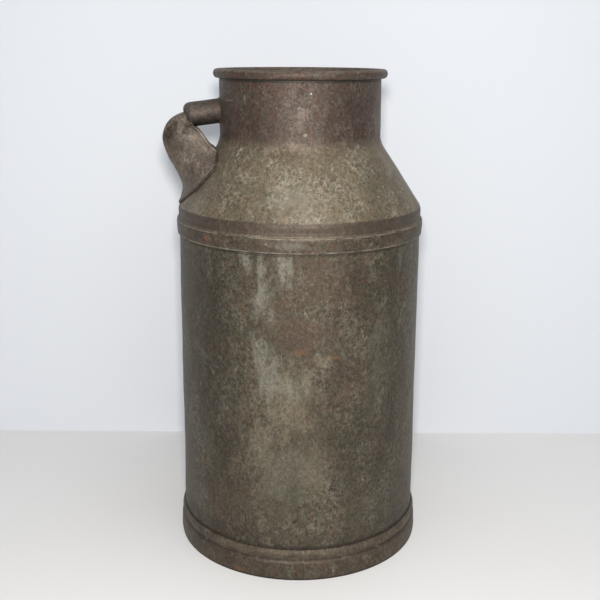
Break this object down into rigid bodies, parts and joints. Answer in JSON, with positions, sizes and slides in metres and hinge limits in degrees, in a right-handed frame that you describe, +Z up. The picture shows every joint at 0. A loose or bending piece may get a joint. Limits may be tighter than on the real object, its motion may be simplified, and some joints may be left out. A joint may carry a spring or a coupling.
{
  "type": "milk can",
  "caption": "Tinned sheet-steel milk can with a straight body, cone breast, open wired neck, steel hoops and a hooded side handle.",
  "frame": {"origin": "on the surface that the can stands on, at the middle of the whole object's footprint; the can's own axis is parallel to Z at x = 0.0060 m, because the one handle sticks out to -X", "axes": "+Z up along the can's axis, -X towards the handle, -Y towards the front"},
  "size_m": [0.2872, 0.2752, 0.5296],
  "materials": {
    "body_steel": "weathered tinned steel, mottled brown and grey, satin to matt",
    "breast_steel": "weathered tinned steel, dusty khaki grey, matt",
    "neck_steel": "weathered tinned steel, dark red-brown, satin to matt",
    "wire_steel": "bare steel wire, dark",
    "solder": "dulled tin-lead solder, matt",
    "hoop_steel": "weathered steel hoop, dark brown with worn light edges",
    "bottom_steel": "weathered tinned steel, matt",
    "handle_steel": "weathered tinned steel, brown-grey, satin",
    "rivet_steel": "dull steel"
  },
  "bodies": {
    "root": {"body_shell": "body_steel", "breast": "breast_steel", "neck": "neck_steel", "rim_wire": "wire_steel", "neck_solder": "solder", "breast_hoop": "hoop_steel", "foot_hoop": "hoop_steel", "bottom_plate": "bottom_steel", "handle_hood": "handle_steel", "handle_grip": "handle_steel", "handle_rivet_upper": "rivet_steel", "handle_rivet_lower": "rivet_steel"}
  },
  "joints": []
}
